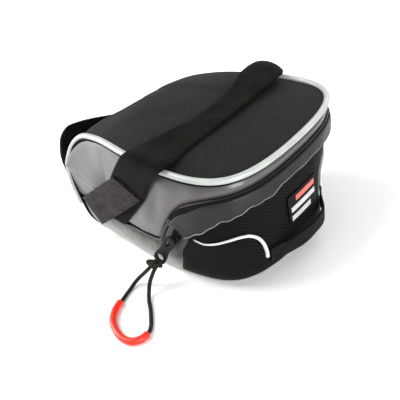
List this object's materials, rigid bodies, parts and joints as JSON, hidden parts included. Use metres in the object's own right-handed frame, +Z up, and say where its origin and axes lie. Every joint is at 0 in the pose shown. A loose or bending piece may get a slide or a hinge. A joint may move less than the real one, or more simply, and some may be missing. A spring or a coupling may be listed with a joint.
{
  "type": "bicycle saddle bag",
  "caption": "Soft wedge bag that straps under a bicycle saddle: piped crowned top, flapped zip round the rear, rail strap, seat post strap and light strap.",
  "frame": {"origin": "on the surface that the bag rests on, under the middle of the box of everything but the pull cord and what hangs on it", "axes": "+X to the rear wall of the bag, -Y to the side with the zip slider, +Z up"},
  "size_m": [0.1878, 0.1887, 0.0908],
  "materials": {
    "ribbed_fabric": "ribbed polyester weave, matt",
    "coated_fabric": "grey coated fabric, satin",
    "dark_coated_fabric": "dark grey coated fabric, satin",
    "reflective_piping": "silver reflective tape over a cord, satin",
    "loop_strap": "black loop tape, fuzzy",
    "webbing": "black woven webbing",
    "hook_tab": "dark grey woven hook tape",
    "reflective_patch": "silver and salmon reflective print",
    "zip_tape": "black zip tape with moulded teeth",
    "slider_metal": "black enamelled zinc",
    "puller_plastic": "black moulded plastic",
    "pull_cord": "braided cord",
    "sleeve_rubber": "red soft tube, satin"
  },
  "bodies": {
    "root": {"top_panel": "ribbed_fabric", "upper_panel": "coated_fabric", "lower_side_panel_near": "coated_fabric", "lower_side_panel_far": "coated_fabric", "rear_panel": "ribbed_fabric", "base_panel": "ribbed_fabric", "zip_flap": "dark_coated_fabric", "edge_piping": "reflective_piping", "trim_near": "reflective_piping", "trim_far": "reflective_piping", "rail_strap": "loop_strap", "post_loop": "webbing", "post_tab": "hook_tab", "light_strap": "webbing", "rear_patch": "reflective_patch", "zip_tape": "zip_tape", "zip_slider": "slider_metal", "zip_puller": "puller_plastic", "pull_knot": "pull_cord", "pull_cord_out": "pull_cord", "pull_cord_back": "pull_cord", "pull_sleeve": "sleeve_rubber"}
  },
  "joints": []
}
